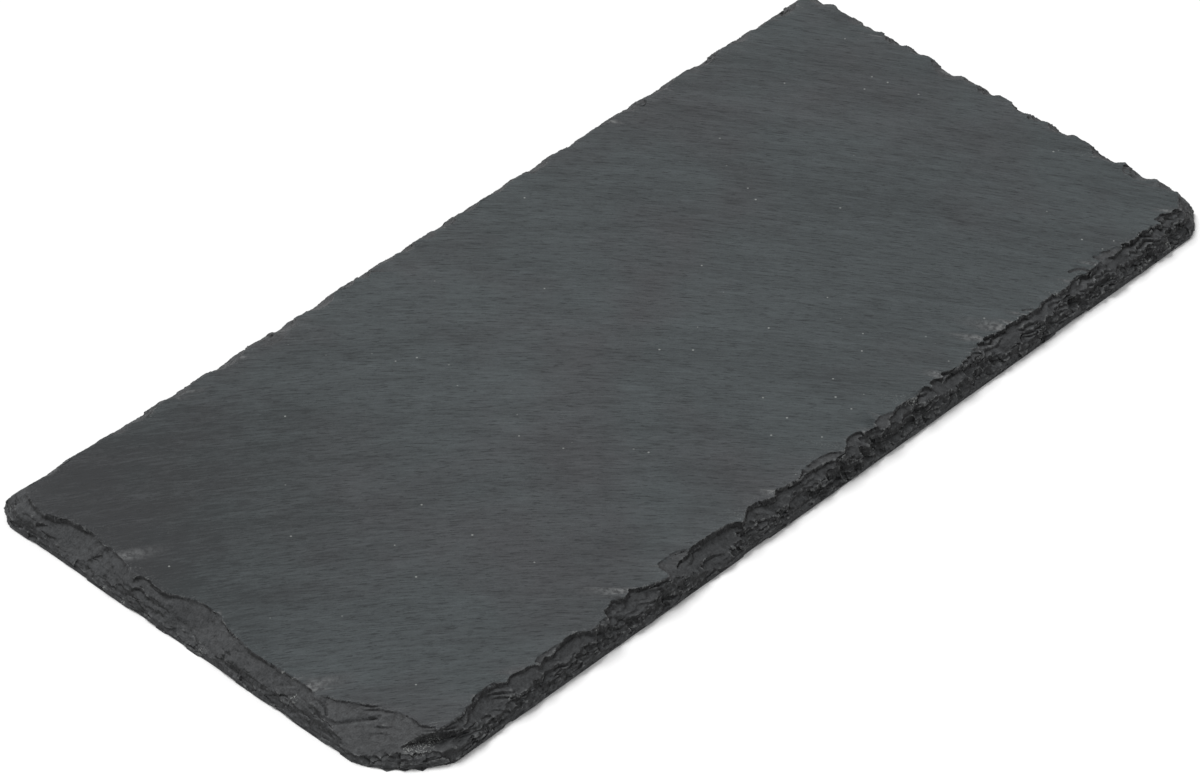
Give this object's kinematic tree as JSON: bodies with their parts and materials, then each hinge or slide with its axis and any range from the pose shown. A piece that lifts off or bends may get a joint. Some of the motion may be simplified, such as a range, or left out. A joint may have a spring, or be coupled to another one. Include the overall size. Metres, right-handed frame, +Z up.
{
  "type": "slate slab",
  "caption": "Rectangular slab of split slate with flat broad faces and hand-dressed, chipped edges, for serving food or standing things on.",
  "frame": {"origin": "middle of the underside, which the slab rests on", "axes": "+X along the slab's long side, +Y along its short side, +Z up out of the top face"},
  "size_m": [0.301, 0.1456, 0.0075],
  "materials": {
    "slate": "split dark grey slate with a faint green cast, matt and dry, with fine lineation"
  },
  "bodies": {
    "root": {"slate_slab": "slate"}
  },
  "joints": []
}
